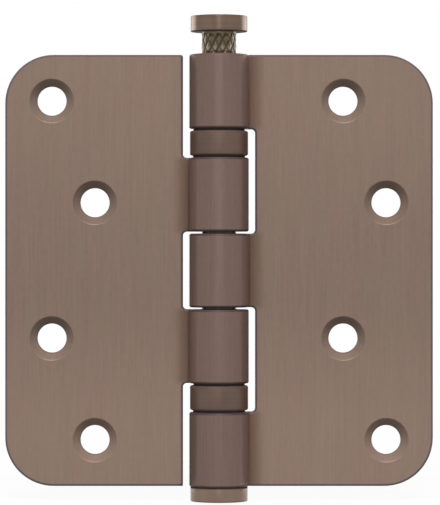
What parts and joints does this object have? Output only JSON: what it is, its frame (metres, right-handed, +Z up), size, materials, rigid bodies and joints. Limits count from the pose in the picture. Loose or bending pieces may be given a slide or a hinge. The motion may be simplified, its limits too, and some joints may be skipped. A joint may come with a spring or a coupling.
{
  "type": "ball bearing hinge",
  "caption": "Butt hinge with round-cornered leaves, staggered countersunk screw holes, rolled knuckles, a headed pin with a knurl and ball thrust bearings between the knuckles.",
  "frame": {"origin": "on the pin's axis, at mid height of the leaves", "axes": "+Z up along the pin, +X across the frame leaf away from the pin, +Y from the countersunk faces to the backs of the leaves"},
  "size_m": [0.0882, 0.0122, 0.0999],
  "materials": {
    "leaf_bronze": "satin bronze, brushed along the pin",
    "case_bronze": "turned, satin bronze",
    "pin_bronze": "turned, bronze plated",
    "race_steel": "hardened steel, blackened and oiled",
    "ball_steel": "polished steel",
    "cage_brass": "stamped brass"
  },
  "bodies": {
    "frame": {"frame_leaf": "leaf_bronze", "bottom_plug": "pin_bronze", "upper_bearing_upper_race": "race_steel", "lower_bearing_lower_race": "race_steel", "lower_bearing_case": "case_bronze"},
    "door": {"door_leaf": "leaf_bronze", "upper_bearing_lower_race": "race_steel", "upper_bearing_case": "case_bronze", "lower_bearing_upper_race": "race_steel"},
    "upper_ball_ring": {"upper_bearing_cage": "cage_brass", "upper_bearing_ball_01": "ball_steel", "upper_bearing_ball_02": "ball_steel", "upper_bearing_ball_03": "ball_steel", "upper_bearing_ball_04": "ball_steel", "upper_bearing_ball_05": "ball_steel", "upper_bearing_ball_06": "ball_steel", "upper_bearing_ball_07": "ball_steel", "upper_bearing_ball_08": "ball_steel"},
    "lower_ball_ring": {"lower_bearing_cage": "cage_brass", "lower_bearing_ball_01": "ball_steel", "lower_bearing_ball_02": "ball_steel", "lower_bearing_ball_03": "ball_steel", "lower_bearing_ball_04": "ball_steel", "lower_bearing_ball_05": "ball_steel", "lower_bearing_ball_06": "ball_steel", "lower_bearing_ball_07": "ball_steel", "lower_bearing_ball_08": "ball_steel"},
    "pin": {"hinge_pin": "pin_bronze"}
  },
  "joints": [
    {"name": "leaf_swing", "type": "hinge", "parent": "frame", "child": "door", "pos_m": [0, 0, 0], "axis": [0, 0, 1], "range_deg": [-125, 180]},
    {"name": "upper_ring_turn", "type": "hinge", "parent": "frame", "child": "upper_ball_ring", "pos_m": [0, 0, 0.0262], "axis": [0, 0, 1], "range_deg": [-62.5, 90]},
    {"name": "lower_ring_turn", "type": "hinge", "parent": "frame", "child": "lower_ball_ring", "pos_m": [0, 0, -0.0262], "axis": [0, 0, 1], "range_deg": [-62.5, 90]},
    {"name": "pin_slide", "type": "slide", "parent": "frame", "child": "pin", "axis": [0, 0, 1], "range_m": [-0.00465, 0.08]}
  ],
  "couplings": [
    {"joint": "upper_ring_turn", "follows": "leaf_swing", "ratio": 0.5},
    {"joint": "lower_ring_turn", "follows": "leaf_swing", "ratio": 0.5}
  ]
}
